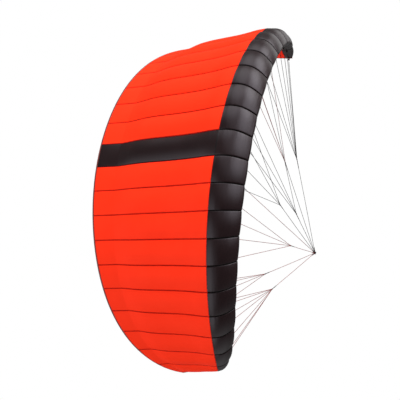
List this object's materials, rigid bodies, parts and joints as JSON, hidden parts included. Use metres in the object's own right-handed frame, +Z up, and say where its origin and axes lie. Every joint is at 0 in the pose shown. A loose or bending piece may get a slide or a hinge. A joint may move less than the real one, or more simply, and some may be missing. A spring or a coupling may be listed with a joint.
{
  "type": "ram-air foil kite (parawing)",
  "caption": "Arched ram-air foil kite with a fat black nose band, red cells, a black middle stripe and bridle lines to one tow knot.",
  "frame": {"origin": "the tow knot, where all bridle lines meet and the rider's lines hold the kite", "axes": "+X forward along the root chord to the leading edge, +Y to the kite's left along the span, +Z up from the knot to the wing"},
  "size_m": [1.2146, 2.4134, 2.0506],
  "materials": {
    "red_cloth": "light coated ripstop polyester, soft sheen",
    "black_cloth": "light coated ripstop polyester, soft sheen",
    "line": "thin braided line, matt",
    "sleeve": "knotted sleeved line, matt"
  },
  "bodies": {
    "root": {"nose_right_10": "black_cloth", "nose_right_09": "black_cloth", "nose_right_08": "black_cloth", "nose_right_07": "black_cloth", "nose_right_06": "black_cloth", "nose_right_05": "black_cloth", "nose_right_04": "black_cloth", "nose_right_03": "black_cloth", "nose_right_02": "black_cloth", "nose_right_01": "black_cloth", "nose_centre": "black_cloth", "nose_left_01": "black_cloth", "nose_left_02": "black_cloth", "nose_left_03": "black_cloth", "nose_left_04": "black_cloth", "nose_left_05": "black_cloth", "nose_left_06": "black_cloth", "nose_left_07": "black_cloth", "nose_left_08": "black_cloth", "nose_left_09": "black_cloth", "nose_left_10": "black_cloth", "body_right_10": "red_cloth", "body_right_09": "red_cloth", "body_right_08": "red_cloth", "body_right_07": "red_cloth", "body_right_06": "red_cloth", "body_right_05": "red_cloth", "body_right_04": "red_cloth", "body_right_03": "red_cloth", "body_right_02": "red_cloth", "body_right_01": "red_cloth", "body_centre": "black_cloth", "body_left_01": "red_cloth", "body_left_02": "red_cloth", "body_left_03": "red_cloth", "body_left_04": "red_cloth", "body_left_05": "red_cloth", "body_left_06": "red_cloth", "body_left_07": "red_cloth", "body_left_08": "red_cloth", "body_left_09": "red_cloth", "body_left_10": "red_cloth", "bridle_centre_front": "line", "bridle_centre_middle": "line", "bridle_inner_left": "line", "bridle_inner_right": "line", "bridle_outer_left": "line", "bridle_outer_right": "line", "bridle_tip_left": "line", "bridle_tip_right": "line", "tow_knot": "sleeve"}
  },
  "joints": []
}
